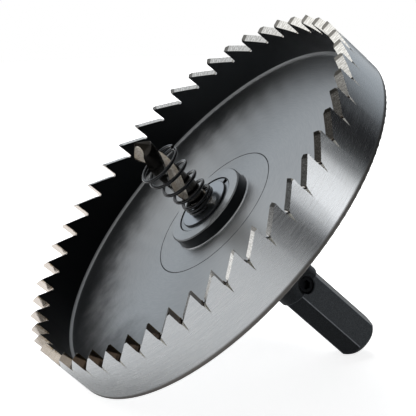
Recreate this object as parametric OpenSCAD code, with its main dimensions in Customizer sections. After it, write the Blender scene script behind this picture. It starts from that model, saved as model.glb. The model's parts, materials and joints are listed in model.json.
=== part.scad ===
// Large-diameter hole saw with pilot drill, ejector spring and hex shank arbor.
// Every module is drawn about the tool axis, with z = 0 on the back face of the
// cup and +z towards the teeth. lie_down() then lays the whole tool on its side,
// where it rests on the back edge of the cup and the end of the shank.

/* [Cup] */
// Cutting diameter over the teeth
cut_d = 150; // [120:1:180]
// Height from the back face to the tooth tips
cup_h = 23; // [20:0.5:32]
// Thickness of the side wall
wall_t = 3.3; // [2.5:0.1:4.5]
// Thickness of the cup floor
floor_t = 6; // [4:0.5:9]
// Fillet between the floor and the wall
floor_fillet = 1.4; // [0.5:0.1:3]
// Rounding of the back outer edge
rim_round = 0.8; // [0.3:0.1:2]
// Diameter of the raised boss inside the cup
boss_d = 32; // [28:1:44]
// Height of the boss above the floor
boss_h = 4.6; // [3:0.2:8]
// Fillet at the foot of the boss
boss_fillet = 0.7; // [0.2:0.1:1.5]
// Edge break at the top of the boss
boss_chamfer = 0.4; // [0.1:0.1:1]
// Diameter of the circle scribed on the floor
scribe_d = 52.4; // [48:0.2:70]
// Width of the scribed line
scribe_w = 0.4; // [0.2:0.1:0.8]

/* [Teeth] */
// Number of teeth
tooth_n = 48; // [36:2:60]
// Depth from a tooth tip to its gullet
tooth_h = 5.9; // [4:0.1:8]
// Hook of the cutting face, in degrees
rake_a = 3; // [0:1:10]
// Width of the flat left on each tip
tip_land = 0.15; // [0.1:0.05:0.6]
// Radius at the root of the gullet
gullet_r = 0.65; // [0.4:0.05:1]
// How far the chip groove runs down the outer wall below the gullet
groove_l = 3.9; // [2:0.1:6]
// Width of the chip groove where it leaves the gullet
groove_w = 1.2; // [0.6:0.1:2]
// Bevel on one corner of each tip, outer and inner by turns
tip_bevel = 0.9; // [0.4:0.1:1.5]
// Slope of that bevel, in degrees
bevel_a = 32; // [20:1:50]
// Angle of the first tooth tip about the axis
tooth_phase = 4.84; // [0:0.01:7.5]

/* [Arbor] */
// Distance across the flats of the hex shank
hex_af = 14.7; // [11:0.1:16]
// How much deeper the flat that carries the screw is milled
screw_flat_cut = 0.9; // [0:0.1:1.2]
// Length of the arbor behind the cup
shank_l = 70.2; // [60:0.1:90]
// Diameter of the flat circle on the shank end
shank_end_d = 12.6; // [9:0.2:14]
// How far the turned crown of the end reaches along the corners
end_crown_l = 3; // [2:0.1:4]
// Angle of the flat that carries the screw, about the axis
flat_a = 293; // [0:0.1:360]
// Diameter of the round neck in front of the hex
neck_d = 17.2; // [17.1:0.1:20]
// Distance from the cup's back face to the end of the neck
neck_l = 37.5; // [32:0.5:45]
// Diameter of the flange that bears on the cup's back face
flange_d = 30; // [26:1:40]
// Thickness of the flange
flange_t = 6; // [4:0.5:10]
// Diameter of the spigot that passes through the cup
spigot_d = 19.9; // [18:0.1:22]
// How far the spigot stands above the retaining ring
lip_h = 0.8; // [0.5:0.1:1.5]
// Edge break on turned edges of the arbor
turn_chamfer = 0.5; // [0.2:0.1:1]

/* [Retaining ring] */
// Outer diameter of the ring
ring_d = 22.9; // [22.5:0.1:25]
// Thickness of the ring
ring_t = 1; // [0.8:0.1:1.5]
// Depth of its groove in the spigot
ring_groove = 0.7; // [0.5:0.1:1.2]
// Opening between the ends of the ring, in degrees
ring_gap_a = 14; // [8:1:40]
// Angle of that opening about the axis
ring_gap_at = 3; // [0:1:360]

/* [Pilot drill] */
// Drill diameter
drill_d = 8; // [6:0.1:9]
// How far the point stands above the tooth tips
drill_out = 21.8; // [12:0.1:26]
// Depth of the drill shank behind the cup's back face
drill_in = 43; // [38:0.5:48]
// Point angle
point_a = 98; // [90:1:140]
// Helix angle of the flutes
helix_a = 30; // [20:1:36]
// Thickness of the web between the flutes
web_t = 1.7; // [1:0.1:2.2]
// Diameter of the round hollow of each flute
flute_d = 4.7; // [4:0.1:6]
// Width of the ground margin along each flute
margin_w = 0.8; // [0.4:0.1:1.5]
// How far the land is cut back behind its margin
land_relief = 0.15; // [0.05:0.05:0.3]
// Angle of the two cutting lips about the axis
lip_a = 1; // [0:1:180]
// Slope at which the flanks of the point fall away behind the lips, in degrees
lip_relief_a = 12; // [6:1:16]
// Depth of the flat ground on the drill's shank, for the screw to bear on
drill_flat = 0.6; // [0.2:0.1:1]

/* [Ejector spring] */
// Wire diameter
wire_d = 1.25; // [0.8:0.05:1.5]
// Outer diameter of the bottom coil
coil_base_d = 12.2; // [12:0.1:14]
// Outer diameter of the top coil
coil_top_d = 16.3; // [13:0.1:18]
// Height of the spring above the spigot
spring_h = 23; // [17:0.5:28]
// Number of closed turns at the base
base_turns = 1.75; // [1:0.25:2.5]
// Number of open turns
open_turns = 4; // [3:0.5:6]
// Number of closed turns at the top
top_turns = 1; // [0.75:0.25:1.5]
// Growth of the pitch over the open turns, where 1 is an even pitch
pitch_growth = 1.3; // [1:0.05:1.5]
// Growth of the cone over the open turns, where 1 is a straight cone
cone_growth = 1.7; // [1:0.05:2]
// Angle of the wire's lower end about the axis
coil_a = 271; // [0:1:360]

/* [Set screw] */
// Thread diameter
screw_d = 6; // [5:0.5:7]
// Distance of the screw from the cup's back face
screw_z = 36.8; // [32:0.1:40]
// Depth of the screw head below the flat that carries it
screw_sunk = 0.7; // [0.1:0.1:1]
// Key size of the hex socket
key_af = 3; // [2.5:0.5:4]
// Depth of the hex socket
key_depth = 1.4; // [1:0.1:2]

/* [Hidden] */
$fn = 64;
// Radial clearance between parts that slide together
slide_fit = 0.03;
// Radial clearance round the retaining ring in its recess
ring_clear = 0.45;
// How far a cutting tool runs past what it cuts
over = 1;
// How much thinner the drill's shank is than its fluted length, in radius
shank_relief = 0.05;
// Gap left between the closed turns of the spring
coil_gap = 0.05;
// Play of the retaining ring along the axis, in its recess
ring_play = 0.3;
// Slope of the drilled cone at the bottom of the bore, in degrees
bore_end_a = 31;
// Chamfer at the mouth of the screw's hole, and on the screw itself
screw_mouth = 0.4;
screw_edge = 0.5;

cut_r = cut_d / 2;
inner_r = cut_r - wall_t;
gullet_z = cup_h - tooth_h;
pitch_a = 360 / tooth_n;
pitch = 2 * PI * (cut_r - wall_t / 2) / tooth_n;
boss_r = boss_d / 2;
boss_z = floor_t + boss_h;
spigot_r = spigot_d / 2;
ring_r = ring_d / 2;
ring_seat_r = ring_r + ring_clear;
ring_seat_z = boss_z - ring_t - ring_play;
ring_top_z = ring_seat_z + ring_t;
spigot_z = ring_top_z + lip_h;
neck_r = neck_d / 2;
flange_r = flange_d / 2;
hex_r = hex_af / 2 / cos(30);
end_r = shank_end_d / 2;
drill_r = drill_d / 2;
drill_tip_z = cup_h + drill_out;
wire_r = wire_d / 2;

screw_flat_r = hex_af / 2 - screw_flat_cut;

// The shank's end is crowned by a sphere about a point of the axis, from its flat
// circle out to the corners of the hex
crown_rise = (pow(hex_r, 2) - pow(end_r, 2) + pow(end_crown_l, 2)) / (2 * end_crown_l);
crown_r = norm([end_r, crown_rise]);
// Keeps a radius between the flat circle of the end and the flats of the hex
function on_crown(r) = min(max(r, end_r), hex_af / 2);
// Distance of the crown behind the cup, at a radius
function crown_l(r) = shank_l - crown_rise + sqrt(pow(crown_r, 2) - pow(r, 2));

// The tool leans until its rounded back edge and the crown share one floor
back_r = cut_r - rim_round;
crown_drop = shank_l - crown_rise + rim_round;
crown_lean = atan2(crown_drop, back_r) + asin((crown_r - rim_round) / norm([crown_drop, back_r]));
rest_r = on_crown(crown_r * sin(crown_lean));
lean_run = back_r - rest_r;
lean_rise = crown_l(rest_r) + rim_round;
lean = atan2(lean_rise, lean_run) - asin(rim_round / norm([lean_rise, lean_run]));
lift = back_r * sin(lean) - rim_round * cos(lean) + rim_round;
far_r = on_crown(crown_r * cos(lean));
shift = ((cut_r - far_r) * cos(lean) + (cup_h - crown_l(far_r)) * sin(lean)) / 2;

// Lays the tool down with its mouth towards -X
module lie_down() {
    translate([shift, 0, lift])
        rotate([0, -lean, 0])
            children();
}

// Half section of the cup before its teeth are cut, as radius and height
module cup_section() {
    difference() {
        union() {
            square([cut_r, floor_t]);
            translate([inner_r, 0])
                square([wall_t, cup_h]);
            square([boss_r, boss_z]);
            translate([inner_r - floor_fillet, floor_t])
                fillet_corner(floor_fillet);
            translate([boss_r + boss_fillet, floor_t])
                mirror([1, 0])
                    fillet_corner(boss_fillet);
        }
        // Bore for the spigot, and the recess for the retaining ring
        translate([-over, -over])
            square([spigot_r + slide_fit + over, boss_z + 2 * over]);
        translate([0, ring_seat_z])
            square([ring_seat_r, boss_z]);
        translate([boss_r, boss_z])
            rotate(45)
                square(boss_chamfer * sqrt(2), center = true);
        translate([scribe_d / 2, floor_t])
            rotate(45)
                square(scribe_w / sqrt(2), center = true);
        // Rounded back edge
        translate([cut_r - rim_round, rim_round])
            rotate(-90)
                difference() {
                    square(rim_round + over);
                    circle(rim_round);
                }
    }
}

// Fills a corner between a floor below and a wall on the right with a fillet r
module fillet_corner(r) {
    difference() {
        square(r);
        translate([0, r])
            circle(r);
    }
}

// A flat shape of distance round the rim and height, driven through the wall
module through_wall() {
    translate([inner_r - over, 0, 0])
        rotate([90, 0, 90])
            linear_extrude(wall_t + 2 * over)
                children();
}

// Centre of the gullet's round root, measured from the tooth's tip
root_z = gullet_z + gullet_r;
root_back = (cup_h - root_z) * tan(rake_a);
root_x = gullet_r / cos(rake_a) - root_back;

// Slope of the relief: the line from the next tip that runs into the round root
root_share = 0.8;
root_bite = root_share * gullet_r;
relief_run = pitch - tip_land - root_x;
relief_rise = cup_h - root_z;
relief_a = atan2(relief_rise, relief_run) + asin(root_bite / norm([relief_run, relief_rise]));

// Space in front of a cutting face, down to the round root of the gullet
module face_slot() {
    slot_r = root_x + gullet_r;
    through_wall() {
        translate([root_x, root_z])
            circle(gullet_r);
        polygon([
            [over * tan(rake_a), cup_h + over],
            [root_x - gullet_r * cos(rake_a), root_z + gullet_r * sin(rake_a)],
            [root_x, root_z],
            [slot_r, root_z],
            [slot_r, cup_h + over],
        ]);
    }
}

// Space above the long relief that falls away behind a cutting edge
module relief_cut() {
    foot_x = root_x - pitch + root_bite * sin(relief_a);
    foot_z = root_z - root_bite * cos(relief_a);
    through_wall()
        polygon([
            [over / tan(relief_a) - tip_land, cup_h + over],
            [foot_x, foot_z],
            [foot_x, cup_h + over],
        ]);
}

// Tapering groove that lets chips out: it starts in the gullet at the inner
// wall and runs out down the outer wall, with one side in line with the face
module chip_groove() {
    start_z = root_z - gullet_r / 2;
    fall = start_z - gullet_z + groove_l;
    fall_a = atan2(fall, wall_t);
    depth = norm([fall, wall_t]);
    side = groove_w / (wall_t * sin(fall_a));
    translate([inner_r, root_x - 0.7 * gullet_r, start_z])
        rotate([0, 90 + fall_a, 0])
            translate([0, 0, -over])
                linear_extrude(depth + 2 * over)
                    polygon([[0, 0], [-depth, 0], [-depth, depth * side]]);
}

// Small bevel on the outer corner of a tip, or on the inner one
module tip_cut(outer) {
    corner_r = outer ? cut_r : inner_r;
    turn = outer ? 1 : -1;
    reach = tip_bevel + over;
    translate([corner_r, over, cup_h])
        rotate([90, 0, 0])
            linear_extrude(3 * over)
                polygon([
                    [-turn * tip_bevel, 0],
                    [turn * over, -reach * tan(bevel_a)],
                    [turn * over, over],
                    [-turn * tip_bevel, over],
                ]);
}

module cup() {
    color("#8c9296")
        lie_down()
            difference() {
                rotate_extrude($fn = 144)
                    cup_section();
                for (i = [0:tooth_n - 1])
                    rotate([0, 0, tooth_phase + i * pitch_a]) {
                        face_slot();
                        relief_cut();
                        chip_groove();
                        tip_cut(i % 2 == 0);
                    }
            }
}

// Half section of the turned front of the arbor, as radius and height
module arbor_section() {
    c = turn_chamfer;
    // The back edge of the neck is broken outside the corners of the hex
    neck_break = (neck_r - hex_r) / 2;
    groove_r = spigot_r - ring_groove;
    polygon([
        [0, -neck_l],
        [neck_r - neck_break, -neck_l],
        [neck_r, -neck_l + neck_break],
        [neck_r, -flange_t],
        [flange_r - c, -flange_t],
        [flange_r, -flange_t + c],
        [flange_r, -c],
        [flange_r - c, 0],
        [spigot_r, 0],
        [spigot_r, ring_seat_z],
        [groove_r, ring_seat_z],
        [groove_r, ring_top_z],
        [spigot_r, ring_top_z],
        [spigot_r, spigot_z - c / 2],
        [spigot_r - c / 2, spigot_z],
        [0, spigot_z],
    ]);
}

// Hex shank, crowned at its end, with a deeper flat for the screw
module hex_shank() {
    front_z = turn_chamfer - neck_l;
    difference() {
        union() {
            translate([0, 0, -shank_l])
                intersection() {
                    hex_bar(crown_rise);
                    translate([0, 0, crown_rise])
                        sphere(crown_r);
                }
            translate([0, 0, crown_rise - shank_l])
                hex_bar(front_z + shank_l - crown_rise);
        }
        rotate(flat_a)
            translate([screw_flat_r, -hex_r, -shank_l - over])
                cube([hex_r, 2 * hex_r, shank_l + front_z + 2 * over]);
    }
}

module hex_bar(length) {
    rotate(flat_a + 30)
        cylinder(r = hex_r, h = length, $fn = 6);
}

// Places its children on the axis of the set screw, with +z pointing outwards
module at_screw() {
    translate([0, 0, -screw_z])
        rotate([0, 90, flat_a])
            children();
}

module arbor() {
    mouth_z = screw_flat_r - screw_mouth;
    color("#2c2e30")
        lie_down()
            difference() {
                union() {
                    rotate_extrude()
                        arbor_section();
                    hex_shank();
                }
                // Bore for the drill, with a drilled cone at its bottom
                rotate_extrude()
                    polygon([
                        [0, -drill_in - drill_r * tan(bore_end_a)],
                        [drill_r + slide_fit, -drill_in],
                        [drill_r + slide_fit, spigot_z + over],
                        [0, spigot_z + over],
                    ]);
                at_screw() {
                    cylinder(r = screw_d / 2 + slide_fit, h = flange_r);
                    translate([0, 0, mouth_z])
                        cylinder(r1 = screw_d / 2, r2 = screw_d / 2 + flange_r - mouth_z,
                            h = flange_r - mouth_z);
                }
            }
}

module retaining_ring() {
    inner = spigot_r - ring_groove + slide_fit;
    color("#6f7478")
        lie_down()
            translate([0, 0, ring_seat_z])
                rotate([0, 0, ring_gap_at + ring_gap_a / 2])
                    rotate_extrude(angle = 360 - ring_gap_a)
                        translate([inner, 0])
                            square([ring_r - inner, ring_t]);
}

// The round hollow of a flute, its place, and half the angle that it opens over
flute_r = flute_d / 2;
flute_at = web_t / 2 + flute_r;
flute_half_a = acos((pow(drill_r, 2) + pow(flute_at, 2) - pow(flute_r, 2)) / (2 * drill_r * flute_at));
margin_a = margin_w / drill_r * 180 / PI;

// Cross-section of the fluted drill body, with one flute centred on +x
module flute_section() {
    difference() {
        union() {
            circle(drill_r - land_relief, $fn = 40);
            for (side = [0, 180])
                rotate(side - flute_half_a - margin_a)
                    intersection() {
                        circle(drill_r, $fn = 72);
                        polygon(drill_d * [[0, 0], [1, 0], [cos(2 * margin_a), sin(2 * margin_a)]]);
                    }
        }
        for (side = [0, 180])
            rotate(side)
                translate([flute_at, 0])
                    circle(flute_r, $fn = 32);
    }
}

// The cone that grinds the flank behind one lip. It is tilted about that lip, so
// the flank falls away from it.
module flank_cone(side) {
    reach = drill_tip_z - spigot_z + over;
    rotate(lip_a + side)
        rotate([lip_relief_a, 0, 0])
            translate([0, 0, -reach])
                cylinder(r1 = reach * tan(point_a / 2), r2 = 0, h = reach);
}

module pilot_drill() {
    flute_l = drill_tip_z - spigot_z;
    turn = 360 * tan(helix_a) / (PI * drill_d);
    point_l = drill_r / tan(point_a / 2);
    color("#3b3a38")
        lie_down() {
            difference() {
                translate([0, 0, -drill_in])
                    cylinder(r = drill_r - shank_relief, h = drill_in + spigot_z);
                at_screw()
                    translate([-screw_d, -drill_r, drill_r - drill_flat])
                        cube([2 * screw_d, drill_d, drill_flat]);
            }
            intersection() {
                translate([0, 0, spigot_z])
                    rotate(lip_a + flute_half_a - turn * (flute_l - point_l))
                        linear_extrude(flute_l, twist = -turn * flute_l, slices = 30)
                            flute_section();
                translate([0, 0, drill_tip_z])
                    intersection() {
                        flank_cone(0);
                        flank_cone(180);
                    }
            }
        }
}

// The wire is wound left-handed, in closed turns at its ends and open turns that
// widen and rise faster towards the top. t counts its turns from the lower end.
coil_steps = 24;
coil_turns = base_turns + open_turns + top_turns;
closed_pitch = wire_d + coil_gap;
open_rise = spring_h - wire_d - closed_pitch * (base_turns + top_turns);
function open_share(t) = max(0, min(t - base_turns, open_turns)) / open_turns;
function closed_turns(t) = min(t, base_turns) + max(0, t - base_turns - open_turns);
function coil_z(t) =
    spigot_z + wire_r + closed_pitch * closed_turns(t) + open_rise * pow(open_share(t), pitch_growth);
function coil_r(t) =
    (coil_base_d + (coil_top_d - coil_base_d) * pow(open_share(t), cone_growth)) / 2 - wire_r;

module ejector_spring() {
    sides = 8;
    rings = coil_turns * coil_steps;
    points = [
        for (i = [0:rings])
            let (t = i / coil_steps, a = coil_a - 360 * t, r = coil_r(t), z = coil_z(t))
            for (s = [0:sides - 1])
                let (b = 360 * s / sides, out = r + wire_r * cos(b))
                [out * cos(a), out * sin(a), z + wire_r * sin(b)]
    ];
    faces = concat(
        [[for (s = [sides - 1:-1:0]) s]],
        [for (i = [0:rings - 1], s = [0:sides - 1])
            let (a = i * sides + s, b = i * sides + (s + 1) % sides)
            [a, b, b + sides, a + sides]],
        [[for (s = [0:sides - 1]) rings * sides + s]]
    );
    color("#1d1e20")
        lie_down()
            polyhedron(points, faces, convexity = 10);
}

module set_screw() {
    head_z = screw_flat_r - screw_sunk;
    foot_z = drill_r - drill_flat + slide_fit;
    color("#222326")
        lie_down()
            at_screw()
                difference() {
                    rotate_extrude()
                        polygon([
                            [0, foot_z],
                            [screw_d / 2 - screw_edge, foot_z],
                            [screw_d / 2, foot_z + screw_edge],
                            [screw_d / 2, head_z - screw_edge / 2],
                            [screw_d / 2 - screw_edge / 2, head_z],
                            [0, head_z],
                        ]);
                    translate([0, 0, head_z - key_depth])
                        cylinder(r = key_af / 2 / cos(30), h = key_depth + over, $fn = 6);
                }
}

cup();
arbor();
retaining_ring();
pilot_drill();
ejector_spring();
set_screw();
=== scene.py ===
import json
import math

import bpy
from mathutils import Matrix, Vector


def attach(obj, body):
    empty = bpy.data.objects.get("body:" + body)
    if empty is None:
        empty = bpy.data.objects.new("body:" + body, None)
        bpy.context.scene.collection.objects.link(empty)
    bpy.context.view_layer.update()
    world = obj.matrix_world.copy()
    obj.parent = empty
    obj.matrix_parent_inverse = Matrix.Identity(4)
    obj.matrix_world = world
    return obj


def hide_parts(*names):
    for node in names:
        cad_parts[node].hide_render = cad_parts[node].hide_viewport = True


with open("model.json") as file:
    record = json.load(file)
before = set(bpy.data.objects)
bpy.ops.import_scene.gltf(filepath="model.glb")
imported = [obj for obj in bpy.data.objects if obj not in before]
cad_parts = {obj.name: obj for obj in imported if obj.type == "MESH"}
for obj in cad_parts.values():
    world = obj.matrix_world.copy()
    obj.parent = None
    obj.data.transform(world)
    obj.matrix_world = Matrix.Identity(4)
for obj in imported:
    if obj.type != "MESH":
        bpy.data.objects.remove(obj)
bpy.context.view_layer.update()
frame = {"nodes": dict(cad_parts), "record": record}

# Camera. The saw was photographed from a little above its own height and 16
# degrees round to the left of square on. The lens and the place are those at
# which the 48 tooth tips and the hub fall where the photograph has them.
camera_data = bpy.data.cameras.new("camera")
camera_data.lens = 166.5
camera_data.sensor_width = 36
camera = bpy.data.objects.new("camera", camera_data)
camera.location = (-0.17287, -0.61850, 0.24489)
camera.rotation_euler = [math.radians(turn) for turn in (73.884, 0.585, -15.841)]
bpy.context.scene.collection.objects.link(camera)
bpy.context.scene.camera = camera
bpy.context.scene.view_settings.view_transform = "Standard"

# Floor. A wide sheet of matt white paper, just under the saw. The lamp and the
# room light it, so that it takes the soft shadow of the saw.


def linear(code):
    """Linear colour of an sRGB hex value such as #8c9296."""
    parts = [int(code[i:i + 2], 16) / 255 for i in (1, 3, 5)]
    return tuple(c / 12.92 if c <= 0.04045 else ((c + 0.055) / 1.055) ** 2.4 for c in parts) + (1.0,)


def add_node(tree, kind, inputs=None, **settings):
    """Adds a node. Each input is given a value, or the output of another node."""
    node = tree.nodes.new(kind)
    for name, value in settings.items():
        setattr(node, name, value)
    for name, value in (inputs or {}).items():
        if isinstance(value, bpy.types.NodeSocket):
            tree.links.new(value, node.inputs[name])
        else:
            node.inputs[name].default_value = value
    return node


def deselect():
    """Nothing stays selected, so that an operator acts on the new piece alone."""
    if bpy.context.mode != "OBJECT":
        bpy.ops.object.mode_set(mode="OBJECT")
    bpy.ops.object.select_all(action="DESELECT")


floor_r, floor_drop = 0.55, 0.0002
glow_to_eye, glow_to_steel = 0.82, 0.2
deselect()
bpy.ops.mesh.primitive_circle_add(vertices=96, radius=floor_r, fill_type="NGON", location=(0, 0, -floor_drop))
floor = bpy.context.object
floor.name = "floor"

# Matt white paper. It glows a little where the camera or bare steel looks at it,
# so that both see it as plain white.
paper = bpy.data.materials.new("white_paper")
paper.use_nodes = True
tree = paper.node_tree
tree.nodes.clear()
path = add_node(tree, "ShaderNodeLightPath")
to_eye = add_node(tree, "ShaderNodeMath", {0: path.outputs["Is Camera Ray"], 1: glow_to_eye},
                  operation="MULTIPLY")
strength = add_node(tree, "ShaderNodeMath", {
    0: path.outputs["Is Glossy Ray"], 1: glow_to_steel, 2: to_eye.outputs[0]}, operation="MULTIPLY_ADD")
matt = add_node(tree, "ShaderNodeBsdfDiffuse", {"Color": linear("#e8e8e8")})
glow = add_node(tree, "ShaderNodeEmission", {"Color": linear("#ffffff"), "Strength": strength.outputs[0]})
shown = add_node(tree, "ShaderNodeAddShader", {0: matt.outputs[0], 1: glow.outputs[0]})
add_node(tree, "ShaderNodeOutputMaterial", {"Surface": shown.outputs[0]})
floor.data.materials.append(paper)

# Light. A studio of grey screens round the saw, a tall soft box between black
# flags on the right, a dark flag on the left and pale cloth above. Bearings are
# in degrees from the far side (+Y) towards the right (+X).
screens = [
    (-180, "#5a5c5f"), (-140, "#5a5c5f"), (-100, "#4c4a46"), (-82, "#2c2a27"), (-50, "#2c2a27"),
    (-38, "#b4b9be"), (-14, "#a4aaae"), (20, "#c0c5ca"), (34, "#c0c5c9"), (42, "#b0b6bb"), (66, "#b4babf"),
    (74, "#808386"), (82, "#1c1d1f"), (97, "#1e1f20"), (107, "#a0a3a4"), (115, "#efefee"), (121, "#ffffff"),
    (133, "#fafafa"), (140, "#b8babc"), (146, "#38383a"), (160, "#444446"), (172, "#5a5c5f"),
]
cloth = [
    (-180, "#606060"), (-125, "#8c8c8a"), (-100, "#f0f0ee"), (-60, "#f0f0ee"), (-25, "#c0c2c4"),
    (20, "#aeb1b4"), (45, "#505254"), (60, "#262627"), (150, "#262627"),
]
screen_top = [math.sin(math.radians(up)) for up in (17.5, 21)]
screen_power, under_floor_power, horizon = 1.35, 0.12, 0.06
soft_box = [math.radians(bearing) for bearing in (108, 118, 135, 142)]
soft_box_power, soft_box_slope = 2.0, 0.4
left_flag_start, left_flag_end, left_flag_drop = -0.9, -0.6, 0.09


def band_of_colours(tree, share, stops):
    """Colour of the studio's wall all the way round, from bearings in degrees and colours."""
    band = add_node(tree, "ShaderNodeValToRGB", {"Fac": share})
    while len(band.color_ramp.elements) < len(stops):
        band.color_ramp.elements.new(1)
    for stop, (degrees, colour) in zip(band.color_ramp.elements, stops):
        stop.position = (degrees + 180) / 360
        stop.color = linear(colour)
    return band.outputs["Color"]


def part_of(tree, *limits):
    """Marks a part of a surface. Each limit is a measure, where the part begins and where it is full."""
    share = None
    for measure, begins, full in limits:
        step = add_node(tree, "ShaderNodeMapRange", {"Value": measure, "From Min": begins, "From Max": full},
                        interpolation_type="SMOOTHSTEP").outputs[0]
        if share is not None:
            step = add_node(tree, "ShaderNodeMath", {0: share, 1: step}, operation="MULTIPLY").outputs[0]
        share = step
    return share


def overlay(tree, base, *layers, data_type="RGBA"):
    """A colour or a value with others laid over parts of it. Each layer is a share and what it brings."""
    for share, top in layers:
        below, above = [linear(value) if isinstance(value, str) else value for value in (base, top)]
        base = add_node(tree, "ShaderNodeMix", {"Factor": share, "A": below, "B": above},
                        data_type=data_type).outputs["Result"]
    return base


world = bpy.data.worlds.new("studio")
world.use_nodes = True
tree = world.node_tree
tree.nodes.clear()
path = add_node(tree, "ShaderNodeLightPath")
where = add_node(tree, "ShaderNodeTexCoord")
axes = add_node(tree, "ShaderNodeSeparateXYZ", {0: where.outputs["Generated"]})
bearing = add_node(tree, "ShaderNodeMath", {0: axes.outputs["X"], 1: axes.outputs["Y"]},
                   operation="ARCTAN2").outputs[0]
turn = add_node(tree, "ShaderNodeMapRange", {"Value": bearing, "From Min": -math.pi, "From Max": math.pi})
past_box = add_node(tree, "ShaderNodeMath", {0: bearing, 1: soft_box[1]}, operation="SUBTRACT")
on_slope = add_node(tree, "ShaderNodeMath", {0: past_box.outputs[0], 1: 0.0}, operation="MAXIMUM")
rise = add_node(tree, "ShaderNodeMath", {0: on_slope.outputs[0], 1: soft_box_slope, 2: axes.outputs["Z"]},
                operation="MULTIPLY_ADD")
past_flag = part_of(tree, (bearing, left_flag_start, left_flag_end))
raised = overlay(tree, -left_flag_drop, (past_flag, 0.0), data_type="FLOAT")
edge = add_node(tree, "ShaderNodeMath", {0: rise.outputs[0], 1: raised}, operation="ADD").outputs[0]
wall = band_of_colours(tree, turn.outputs[0], screens)
ceiling = band_of_colours(tree, turn.outputs[0], cloth)
room = overlay(tree, wall, (part_of(tree, (edge, *screen_top)), ceiling))
in_box = part_of(tree, (bearing, soft_box[0], soft_box[1]), (bearing, soft_box[3], soft_box[2]))
boost = overlay(tree, 1.0, (in_box, soft_box_power), data_type="FLOAT")
over_floor = part_of(tree, (axes.outputs["Z"], -horizon, 0))
lit = overlay(tree, under_floor_power, (over_floor, screen_power), data_type="FLOAT")
boosted = add_node(tree, "ShaderNodeMath", {0: boost, 1: lit}, operation="MULTIPLY").outputs[0]
light = add_node(tree, "ShaderNodeBackground", {
    "Color": overlay(tree, room, (path.outputs["Is Camera Ray"], "#ffffff")),
    "Strength": overlay(tree, boosted, (path.outputs["Is Camera Ray"], 1.0), data_type="FLOAT")})
add_node(tree, "ShaderNodeOutputWorld", {"Surface": light.outputs[0]})
bpy.context.scene.world = world

# Top lamp. A large soft lamp over the far side, for the floor and its shadow. The
# steel mirrors the screens alone, because the lamp would burn out its far teeth.
lamp_place, saw_middle = Vector((-0.25, 0.35, 1.2)), Vector((0, 0, 0.06))
lamp_data = bpy.data.lights.new("top_lamp", "AREA")
lamp_data.shape = "RECTANGLE"
lamp_data.size, lamp_data.size_y = 0.9, 0.7
lamp_data.energy = 11
lamp = bpy.data.objects.new("top_lamp", lamp_data)
lamp.visible_glossy = False
lamp.location = lamp_place
lamp.rotation_euler = (saw_middle - lamp_place).to_track_quat("-Z", "Y").to_euler()
bpy.context.scene.collection.objects.link(lamp)

# Cup. One piece of high speed steel, faced and turned in a lathe, hardened and
# then ground at its 48 teeth, with a chip groove milled below each gullet. Its
# sizes are in mm, measured on the upright tool from the cup's back face.
millimetre = 0.001
shank_l = 70.2
shank_mount = next(m for m in frame["record"]["mounts"] if m["name"] == "shank")
axis = -Vector(shank_mount["axis"]).normalized()
origin = Vector(shank_mount["pos_m"]) + shank_l * millimetre * axis
lean = math.atan2(-axis.x, axis.z)
cut_r, wall_t, floor_t, boss_r, scribe_r = 75, 3.3, 6, 16, 26.2
cup_h, gullet_z, groove_reach = 23, 17.1, 6
corner_in, edge_round = 0.4, 0.8
bore_r = cut_r - wall_t


def tool_space(tree):
    """Where a point of the surface lies on the upright tool, in mm, and which way it faces there."""
    spot = add_node(tree, "ShaderNodeTexCoord")
    local = add_node(tree, "ShaderNodeMapping", {
        "Vector": spot.outputs["Object"], "Location": origin, "Rotation": (0, -lean, 0),
        "Scale": (millimetre,) * 3}, vector_type="TEXTURE").outputs[0]
    facing = add_node(tree, "ShaderNodeMapping", {
        "Vector": spot.outputs["Normal"], "Rotation": (0, -lean, 0)}, vector_type="TEXTURE").outputs[0]
    flat = add_node(tree, "ShaderNodeVectorMath", {0: local, 1: (1, 1, 0)}, operation="MULTIPLY").outputs[0]
    outward = add_node(tree, "ShaderNodeVectorMath", {0: flat}, operation="NORMALIZE").outputs[0]
    arm = add_node(tree, "ShaderNodeVectorMath", {0: spot.outputs["Object"], 1: origin},
                   operation="SUBTRACT").outputs[0]
    swing = add_node(tree, "ShaderNodeVectorMath", {0: axis, 1: arm}, operation="CROSS_PRODUCT").outputs[0]
    turning = add_node(tree, "ShaderNodeVectorMath", {0: swing}, operation="NORMALIZE").outputs[0]
    return {
        "local": local,
        "outward": outward,
        "turning": turning,
        "radius": add_node(tree, "ShaderNodeVectorMath", {0: flat}, operation="LENGTH").outputs["Value"],
        "height": add_node(tree, "ShaderNodeSeparateXYZ", {0: local}).outputs["Z"],
        "faces_on": add_node(tree, "ShaderNodeVectorMath", {0: spot.outputs["Normal"], 1: turning},
                             operation="DOT_PRODUCT").outputs["Value"],
        "faces_out": add_node(tree, "ShaderNodeVectorMath", {0: facing, 1: outward},
                              operation="DOT_PRODUCT").outputs["Value"],
        "faces_up": add_node(tree, "ShaderNodeSeparateXYZ", {0: facing}).outputs["Z"],
    }


def new_finish(name):
    """An empty material, its nodes and the measures of its surface."""
    material = bpy.data.materials.new(name)
    material.use_nodes = True
    material.node_tree.nodes.clear()
    return material, material.node_tree, tool_space(material.node_tree)


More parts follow.
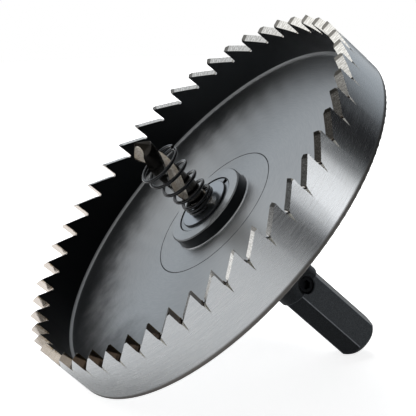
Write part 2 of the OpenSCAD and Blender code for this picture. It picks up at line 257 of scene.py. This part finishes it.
def turned_marks(tree, at, spacing, round_stretch=9):
    """Fine rings that a lathe leaves, this many mm apart and broken up on their way round."""
    along = add_node(tree, "ShaderNodeMath", {0: at["radius"], 1: at["height"]}, operation="ADD").outputs[0]
    level = add_node(tree, "ShaderNodeMath", {0: along, 1: 1 / spacing}, operation="MULTIPLY").outputs[0]
    up = add_node(tree, "ShaderNodeCombineXYZ", {"Z": level}).outputs[0]
    wide = add_node(tree, "ShaderNodeVectorMath", {0: at["outward"], 1: (round_stretch, round_stretch, 0)},
                    operation="MULTIPLY").outputs[0]
    spot = add_node(tree, "ShaderNodeVectorMath", {0: wide, 1: up}, operation="ADD").outputs[0]
    return add_node(tree, "ShaderNodeTexNoise", {"Vector": spot, "Scale": 1.0, "Detail": 5.0,
                                                 "Roughness": 0.7}).outputs[0]


def off_line(tree, at, radius, height):
    """How far a point is from the turned edge at this radius and height, in mm."""
    spot = add_node(tree, "ShaderNodeCombineXYZ", {"X": at["radius"], "Y": at["height"]}).outputs[0]
    return add_node(tree, "ShaderNodeVectorMath", {0: spot, 1: (radius, height, 0)},
                    operation="DISTANCE").outputs["Value"]


# Turned high speed steel. Its rings draw each reflection out into a soft band
# across them; they are drawn coarser than real ones, so that they show. The
# inner wall and the side of the boss are painted dark as painted shade, and
# clouds on one side of the floor are painted dark as a painted reflection of that wall.
# That is a guess: they may be reflections.
cup_finish, tree, at = new_finish("turned_high_speed_steel")
ring_spacing, mark_depth = 0.35, 0.05
grind_spacing, grind_length, spot_size = 0.2222, 2, 0.909
cloud_size, cloud_shift, shaded_side = 11.11, 26, math.radians(130)
marks = turned_marks(tree, at, ring_spacing)
rim = (at["radius"], bore_r - 2, bore_r - 1)
over_gullets = (at["height"], gullet_z - 0.6, gullet_z - 0.3)
leads_the_cut = (at["faces_on"], 0.35, 0.6)
# Painted shade: the inner wall and the side of the boss are darkened in the colour below.
inner_wall = part_of(tree, rim, (at["faces_out"], -0.4, -0.9))
boss_side = part_of(tree, (at["radius"], boss_r + 0.3, boss_r + 0.1), (at["faces_up"], 1.02, 0.5),
                    (at["height"], floor_t + 0.3, floor_t + 0.5))
scribed_line = part_of(tree, (off_line(tree, at, scribe_r, floor_t), 0.4, 0.2), (at["faces_up"], 0.98, 0.9))
hollow_corner = part_of(tree, (off_line(tree, at, bore_r - corner_in, floor_t + corner_in), 0.8, 0.4))
# Painted shade: the rounded back edge is darkened, so that it does not shine.
back_edge = part_of(tree, (off_line(tree, at, cut_r - edge_round, edge_round), 1.7, 0.85))
# Painted reflection: dark clouds on one side of the floor, where the dark wall is mirrored.
cloud = add_node(tree, "ShaderNodeTexNoise", {"Vector": at["local"], "Scale": 1 / cloud_size, "Detail": 4.0,
                                              "Roughness": 0.6}).outputs[0]
cloudy_r = add_node(tree, "ShaderNodeMath", {0: cloud, 1: cloud_shift, 2: at["radius"]},
                    operation="MULTIPLY_ADD").outputs[0]
to_shaded_side = add_node(tree, "ShaderNodeVectorMath", {
    0: at["outward"], 1: (math.cos(shaded_side), math.sin(shaded_side), 0)}, operation="DOT_PRODUCT")
floor_shade_clouds = part_of(tree, (cloudy_r, 54, 82), (to_shaded_side.outputs["Value"], -0.35, 0.45),
                 (at["radius"], bore_r, bore_r - 0.5), (at["height"], floor_t - 1, floor_t - 0.5))
bare = overlay(tree, "#b6b9bc", (part_of(tree, (marks, 0.35, 0.65)), "#c2c4c6"))

# The ground faces are bare and bright, with short lines across them. The cutting
# faces are painted brown at the front as painted shade, and warm silver elsewhere,
# with golden spots at their inner edge. The milled grooves are dull, and painted white as painted light.
behind_edge = part_of(tree, rim, over_gullets, (at["faces_on"], -0.35, -0.45))
cutting_face = part_of(tree, rim, over_gullets, leads_the_cut)
# Painted light: the milled grooves are painted white.
groove = part_of(tree, rim, (at["height"], gullet_z - groove_reach, gullet_z - groove_reach + 0.2),
                 (at["height"], gullet_z - 0.3, gullet_z - 0.6),
                 (at["faces_out"], 0.99, 0.95), (at["faces_out"], -0.9, -0.8))
tip_bevel = part_of(tree, (at["height"], cup_h - 0.8, cup_h - 0.6), (at["faces_up"], 0.65, 0.75))
plane = add_node(tree, "ShaderNodeCombineXYZ", {"X": at["radius"], "Y": at["height"]}).outputs[0]
grind_spot = add_node(tree, "ShaderNodeVectorMath", {0: plane, 1: (1 / grind_length, 1 / grind_spacing, 0)},
                      operation="MULTIPLY").outputs[0]
grind = add_node(tree, "ShaderNodeTexNoise", {"Vector": grind_spot, "Scale": 1.0, "Detail": 4.0,
                                              "Roughness": 0.7}).outputs[0]
ground = overlay(tree, "#c9c7c3", (part_of(tree, (grind, 0.4, 0.62)), "#f3f2ef"))
# Painted shade: the cutting faces are brown towards the front and warm silver towards the far side.
to_far_side = add_node(tree, "ShaderNodeSeparateXYZ", {0: at["outward"]}).outputs["Y"]
cutting_face_shading = overlay(tree, "#4f443b", (part_of(tree, (to_far_side, -0.42, -0.22)), "#ddd4cc"))
spots = add_node(tree, "ShaderNodeTexNoise", {"Vector": at["local"], "Scale": 1 / spot_size, "Detail": 4.0,
                                              "Roughness": 0.7}).outputs[0]
golden = part_of(tree, rim, over_gullets, leads_the_cut, (at["radius"], bore_r + 1.1, bore_r),
                 (spots, 0.35, 0.6))
colour = overlay(
    tree, bare, (floor_shade_clouds, "#55575a"), (scribed_line, "#55575a"), (inner_wall, "#2e3032"),
    (boss_side, "#2e3032"), (hollow_corner, "#b4b6b8"), (back_edge, "#6f6c69"), (behind_edge, ground),
    (groove, "#efeeea"), (tip_bevel, "#7c7a76"), (cutting_face, cutting_face_shading), (golden, "#7d6a48"))
dull = part_of(tree, (marks, 0.3, 0.7))
inner_rough = overlay(tree, 0.33, (dull, 0.39), data_type="FLOAT")
outer_rough = overlay(tree, 0.22, (dull, 0.29), data_type="FLOAT")
rough = overlay(
    tree, inner_rough, (part_of(tree, (at["radius"], bore_r, bore_r + 1)), outer_rough), (behind_edge, 0.2),
    (cutting_face, 0.2), (groove, 0.55), (hollow_corner, 0.55), (back_edge, 0.55), data_type="FLOAT")
across = add_node(tree, "ShaderNodeVectorMath", {0: at["turning"], 1: axis},
                  operation="CROSS_PRODUCT").outputs[0]
grain = overlay(tree, at["turning"], (cutting_face, across), data_type="VECTOR")
relief = add_node(tree, "ShaderNodeBump", {
    "Height": marks, "Strength": 0.03, "Distance": mark_depth * millimetre}).outputs[0]
steel = add_node(tree, "ShaderNodeBsdfPrincipled", {
    "Base Color": colour, "Metallic": overlay(tree, 1.0, (groove, 0.5), data_type="FLOAT"),
    "Roughness": rough, "Anisotropic": 0.7, "Anisotropic Rotation": 0.25, "Tangent": grain, "Normal": relief})
add_node(tree, "ShaderNodeOutputMaterial", {"Surface": steel.outputs[0]})
cup = frame["nodes"]["cup"]
cup.material_slots[0].material = cup_finish

# Arbor. A bar of hex steel, turned to a neck, a flange and a spigot that passes
# through the cup, and blackened in a hot salt bath. One flat of the hex lies
# deeper than the rest and has the set screw, and the shank's end is crowned.
hex_af, screw_flat_cut, hex_end_r, neck_l, spigot_z = 14.7, 0.9, 6.3, 37.5, 11.1
bore_edge_r, screw_a = 4.15, math.radians(293)
hex_corner_r = hex_af / 2 / math.cos(math.radians(30))
screw_flat_x = hex_af / 2 - screw_flat_cut
screw_flat_y = (hex_af / 2 - screw_flat_x * math.cos(math.radians(60))) / math.sin(math.radians(60))

# Black oxide on milled steel. It is matt, with a dust of salt that is drawn
# coarser than it is, paler at the edges, partly rubbed there by the chuck and
# partly a painted highlight, and bare where the end of the spigot was faced.
oxide, tree, at = new_finish("black_oxide_steel")
dust_size, dust_depth = 0.3333, 0.08
dust = add_node(tree, "ShaderNodeTexNoise", {"Vector": at["local"], "Scale": 1 / dust_size, "Detail": 6.0,
                                             "Roughness": 0.75}).outputs[0]
on_shank = (at["height"], 0.3 - neck_l, -neck_l)
hex_corners = part_of(tree, on_shank, (at["radius"], hex_corner_r - 0.25, hex_corner_r - 0.1))
end_edge = part_of(tree, (off_line(tree, at, hex_end_r, -shank_l), 0.35, 0.175))
turned_flat = add_node(tree, "ShaderNodeMapping", {"Vector": at["local"], "Rotation": (0, 0, -screw_a)})
mirrored = add_node(tree, "ShaderNodeVectorMath", {0: turned_flat.outputs[0]}, operation="ABSOLUTE")
section = add_node(tree, "ShaderNodeVectorMath", {0: mirrored.outputs[0], 1: (1, 1, 0)}, operation="MULTIPLY")
off_flat = add_node(tree, "ShaderNodeVectorMath", {0: section.outputs[0], 1: (screw_flat_x, screw_flat_y, 0)},
                    operation="DISTANCE")
flat_edges = part_of(tree, on_shank, (off_flat.outputs["Value"], 0.32, 0.15))
round_edges = add_node(tree, "ShaderNodeMath", {0: hex_corners, 1: end_edge}, operation="MAXIMUM").outputs[0]
edges = add_node(tree, "ShaderNodeMath", {0: round_edges, 1: flat_edges}, operation="MAXIMUM").outputs[0]
wear = overlay(tree, 0.3, (part_of(tree, (dust, 0.25, 0.6)), 1.0), data_type="FLOAT")
# Paler edges: partly wear, partly a painted highlight along the edges.
worn_and_highlit = add_node(tree, "ShaderNodeMath", {0: edges, 1: wear}, operation="MULTIPLY").outputs[0]
faced = part_of(tree, (at["height"], spigot_z - 3.1, spigot_z - 2.1), (at["faces_up"], 0.85, 0.95),
                (at["radius"], bore_edge_r - 0.05, bore_edge_r + 0.05))
colour = overlay(tree, "#2a2c2e", (part_of(tree, (dust, 0.35, 0.7)), "#404346"), (worn_and_highlit, "#72767a"),
                 (faced, "#b9bec4"))
relief = add_node(tree, "ShaderNodeBump", {
    "Height": dust, "Strength": 0.25, "Distance": dust_depth * millimetre}).outputs[0]
steel = add_node(tree, "ShaderNodeBsdfPrincipled", {
    "Base Color": colour, "Metallic": 1.0, "Roughness": overlay(tree, 0.45, (faced, 0.28), data_type="FLOAT"),
    "Normal": relief})
add_node(tree, "ShaderNodeOutputMaterial", {"Surface": steel.outputs[0]})
arbor = frame["nodes"]["arbor"]
arbor.material_slots[0].material = oxide

# Retaining ring. A snap ring of spring steel, sprung into a groove of the spigot,
# where it keeps the cup against the flange. Its face is bright steel, and its sides
# are painted dark as painted shade, so that it shows as thin dark lines.
snap, tree, at = new_finish("bright_spring_steel")
polish_spacing = 0.2
marks = turned_marks(tree, at, polish_spacing)
bright = overlay(tree, "#a0a4a8", (part_of(tree, (marks, 0.35, 0.65)), "#b8bcc0"))
# Painted shade: all but the upward face of the ring is dark.
colour = overlay(tree, "#3a3c3e", (part_of(tree, (at["faces_up"], 0.8, 0.9)), bright))
steel = add_node(tree, "ShaderNodeBsdfPrincipled", {"Base Color": colour, "Metallic": 1.0, "Roughness": 0.28})
add_node(tree, "ShaderNodeOutputMaterial", {"Surface": steel.outputs[0]})
ring = frame["nodes"]["retaining_ring"]
ring.material_slots[0].material = snap

# Pilot drill. A twist drill of high speed steel: the flutes were milled in the
# blackened rod, the margins ground round and the point ground last, as two
# cones. It centres the saw, and the set screw holds it by a ground flat.
drill_r, drill_shank_r, drill_in, tip_z = 4, 3.95, 43, 44.8
flute_r, flute_at, margin_w, land_r = 2.35, 3.2, 0.8, 3.85
helix_a, point_a, flank_a, lip_a = (math.radians(a) for a in (30, 98, 12, 1))
drill_flat, screw_z, screw_r = 0.6, -36.8, 3
winding_steps, cone_sides, rod_sides, spare_l, overlap = 110, 128, 64, 3, 0.05
flute_half = math.acos((drill_r ** 2 + flute_at ** 2 - flute_r ** 2) / (2 * drill_r * flute_at))
margin_half = margin_w / drill_r
tool_place = Matrix.Translation(origin) @ Matrix.Rotation(-lean, 4, "Y") @ Matrix.Scale(millimetre, 4)


def lay_on_tool(piece):
    """Takes a piece drawn in mm about the upright tool's axis to its place in the lying saw."""
    deselect()
    piece.select_set(True)
    bpy.context.view_layer.objects.active = piece
    piece.matrix_world = tool_place
    bpy.ops.object.transform_apply(location=True, rotation=True, scale=True)


def carve(piece, cutter, operation):
    """Cuts a piece with another, joins the two or keeps what they share."""
    trim = piece.modifiers.new("trim", "BOOLEAN")
    trim.operation = operation
    trim.solver = "EXACT"
    trim.object = cutter
    deselect()
    piece.select_set(True)
    bpy.context.view_layer.objects.active = piece
    bpy.ops.object.modifier_apply(modifier="trim")
    bpy.data.objects.remove(cutter)


def on_circle(radius, angle, centre=(0, 0)):
    """Point of a circle round the axis, or round another centre."""
    return (centre[0] + radius * math.cos(angle), centre[1] + radius * math.sin(angle))


def half_section(side):
    """Outline of half the drill's section: one flute's hollow, its land, then its margin."""
    arc_steps, margin_steps, land_steps = 22, 6, 20
    edge = math.atan2(drill_r * math.sin(flute_half), drill_r * math.cos(flute_half) - flute_at)
    land_half = math.acos((land_r ** 2 + flute_at ** 2 - flute_r ** 2) / (2 * land_r * flute_at))
    land_edge = math.atan2(land_r * math.sin(land_half), land_r * math.cos(land_half) - flute_at)
    centre = on_circle(flute_at, side)
    sweep = 2 * math.pi - edge - land_edge
    hollow = [on_circle(flute_r, side - edge - sweep * i / arc_steps, centre) for i in range(arc_steps + 1)]
    last = side + math.pi - flute_half - margin_half
    land = [on_circle(land_r, side + land_half + (last - side - land_half) * i / land_steps)
            for i in range(1, land_steps + 1)]
    margin = [on_circle(drill_r, last + margin_half * i / margin_steps) for i in range(margin_steps)]
    return hollow + land + margin


outline = half_section(0) + half_section(math.pi)
fluted_l = tip_z - spigot_z
turn_per_mm = math.tan(helix_a) / drill_r
point_l = drill_r / math.tan(point_a / 2)
deselect()
bpy.ops.mesh.primitive_circle_add(vertices=len(outline), radius=drill_r, fill_type="NOTHING")
drill = bpy.context.object
drill.name = "twist_drill"
for corner, (x, y) in zip(drill.data.vertices, outline):
    corner.co = (x, y, 0)
drill.data.transform(Matrix.Translation((0, 0, spigot_z))
                     @ Matrix.Rotation(lip_a + flute_half - turn_per_mm * (fluted_l - point_l), 4, "Z"))
winding = drill.modifiers.new("winding", "SCREW")
winding.angle = turn_per_mm * fluted_l
winding.screw_offset = fluted_l
winding.steps = winding.render_steps = winding_steps
winding.use_smooth_shade = True
bpy.ops.object.modifier_apply(modifier="winding")
bpy.ops.object.mode_set(mode="EDIT")
bpy.ops.mesh.select_all(action="SELECT")
bpy.ops.mesh.fill_holes(sides=0)
bpy.ops.mesh.normals_make_consistent(inside=False)
bpy.ops.object.mode_set(mode="OBJECT")
cone_l = fluted_l + spare_l
for side in (0, math.pi):
    bpy.ops.mesh.primitive_cone_add(vertices=cone_sides, radius1=cone_l * math.tan(point_a / 2), radius2=0,
                                    depth=cone_l)
    cone = bpy.context.object
    cone.matrix_world = (Matrix.Translation((0, 0, tip_z)) @ Matrix.Rotation(lip_a + side, 4, "Z")
                         @ Matrix.Rotation(flank_a, 4, "X") @ Matrix.Translation((0, 0, -cone_l / 2)))
    carve(drill, cone, "INTERSECT")
rod_l = drill_in + spigot_z + overlap
bpy.ops.mesh.primitive_cylinder_add(vertices=rod_sides, radius=drill_shank_r, depth=rod_l,
                                    location=(0, 0, rod_l / 2 - drill_in))
rod = bpy.context.object
bpy.ops.mesh.primitive_cube_add(size=1)
flat = bpy.context.object
flat.matrix_world = (Matrix.Rotation(screw_a, 4, "Z")
                     @ Matrix.Translation((drill_r, 0, screw_z))
                     @ Matrix.Diagonal((2 * drill_flat, 2 * drill_r, 4 * screw_r, 1)))
carve(rod, flat, "DIFFERENCE")
carve(drill, rod, "UNION")
lay_on_tool(drill)
bpy.ops.object.shade_smooth_by_angle(angle=math.radians(35))

# Ground and blackened high speed steel. Lands and point are glossy and dark, the
# point painted darker as painted shade; the flutes are pale and dull from the cutter,
# painted paler still as painted reflection; and the ground margins shine.
hss, tree, at = new_finish("ground_and_blackened_high_speed_steel")
grit_size = 0.625
grit = add_node(tree, "ShaderNodeTexNoise", {
    "Vector": at["local"], "Scale": 1 / grit_size, "Detail": 5.0}).outputs[0]
mottled = part_of(tree, (grit, 0.35, 0.65))
flute = part_of(tree, (at["radius"], land_r - 0.04, land_r - 0.12), (at["faces_up"], 0.5, 0.46))
margin = part_of(tree, (at["radius"], drill_r - 0.07, drill_r - 0.03))
# Painted shade: the point is darker than the lands.
point = part_of(tree, (at["height"], tip_z - point_l - 0.4, tip_z - point_l - 0.2),
                (at["faces_up"], 0.46, 0.5))
black = overlay(tree, "#45433f", (mottled, "#5a5754"))
# Partly painted reflection: the flutes are paler than bare milled steel.
milled_and_painted_reflection = overlay(tree, "#dfd5c9", (mottled, "#fbf6ec"))
steel = add_node(tree, "ShaderNodeBsdfPrincipled", {
    "Base Color": overlay(tree, black, (flute, milled_and_painted_reflection), (margin, "#d5d2cd"), (point, "#37342f")),
    "Metallic": overlay(tree, 1.0, (flute, 0.35), data_type="FLOAT"),
    "Roughness": overlay(tree, 0.16, (flute, 0.34), data_type="FLOAT")})
add_node(tree, "ShaderNodeOutputMaterial", {"Surface": steel.outputs[0]})
drill.data.materials.clear()
drill.data.materials.append(hss)
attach(drill, "root")
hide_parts("pilot_drill")

# Ejector spring. Spring wire wound left-handed in a cone round the drill, with
# closed turns at both ends. It stands on the end of the arbor and pushes the cut
# disc out of the cup.
wire_d, base_d, top_d, spring_h = 1.25, 12.2, 16.3, 23
base_turns, open_turns, top_turns = 1.75, 4, 1
coil_gap, pitch_growth, cone_growth, start_a = 0.05, 1.3, 1.7, math.radians(271)
steps_per_turn = 48
wire_r = wire_d / 2
closed_pitch = wire_d + coil_gap
open_rise = spring_h - wire_d - closed_pitch * (base_turns + top_turns)


def wire_centre(turns):
    """Centre of the wire this many turns from its lower end."""
    share = min(max(turns - base_turns, 0), open_turns) / open_turns
    closed = min(turns, base_turns) + max(0, turns - base_turns - open_turns)
    radius = (base_d + (top_d - base_d) * share ** cone_growth) / 2 - wire_r
    height = spigot_z + wire_r + closed_pitch * closed + open_rise * share ** pitch_growth
    return (*on_circle(radius, start_a - 2 * math.pi * turns), height)


deselect()
bpy.ops.curve.primitive_nurbs_path_add()
spring = bpy.context.object
spring.name = "coil_spring"
wire = spring.data
wire.splines.clear()
route = wire.splines.new("POLY")
rings = int((base_turns + open_turns + top_turns) * steps_per_turn)
route.points.add(rings)
for i, point in enumerate(route.points):
    point.co = (*wire_centre(i / steps_per_turn), 1)
wire.bevel_depth = wire_r
wire.bevel_resolution = 6
wire.use_fill_caps = True
bpy.ops.object.convert(target="MESH")
bpy.ops.object.mode_set(mode="EDIT")
bpy.ops.mesh.select_all(action="SELECT")
bpy.ops.mesh.remove_doubles(threshold=0.001)
bpy.ops.object.mode_set(mode="OBJECT")
lay_on_tool(spring)
bpy.ops.object.shade_smooth_by_angle(angle=math.radians(50))

# Oiled black spring wire. Under its film of oil it is near black, with thin
# sharp highlights along each turn.
oiled, tree, at = new_finish("oiled_spring_wire")
smear_size = 0.8333
smear = add_node(tree, "ShaderNodeTexNoise", {
    "Vector": at["local"], "Scale": 1 / smear_size, "Detail": 4.0}).outputs[0]
colour = overlay(tree, "#191a1c", (part_of(tree, (smear, 0.35, 0.65)), "#26272a"))
steel = add_node(tree, "ShaderNodeBsdfPrincipled", {
    "Base Color": colour, "Metallic": 1.0, "Roughness": 0.16, "Coat Weight": 0.6, "Coat Roughness": 0.06})
add_node(tree, "ShaderNodeOutputMaterial", {"Surface": steel.outputs[0]})
spring.data.materials.clear()
spring.data.materials.append(oiled)
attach(spring, "root")
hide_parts("ejector_spring")

# Set screw. A socket screw of steel in the neck of the arbor, turned tight on
# the flat of the drill. Its black oxide is matt, and painted darker than the arbor's as painted shade of its
# hole.
socket, tree, at = new_finish("black_oxide_screw")
stain_size = 0.5
stain = add_node(tree, "ShaderNodeTexNoise", {
    "Vector": at["local"], "Scale": 1 / stain_size, "Detail": 4.0}).outputs[0]
colour = overlay(tree, "#0f1011", (part_of(tree, (stain, 0.35, 0.65)), "#18191b"))
steel = add_node(tree, "ShaderNodeBsdfPrincipled", {"Base Color": colour, "Metallic": 1.0, "Roughness": 0.5})
add_node(tree, "ShaderNodeOutputMaterial", {"Surface": steel.outputs[0]})
screw = frame["nodes"]["set_screw"]
screw.material_slots[0].material = socket
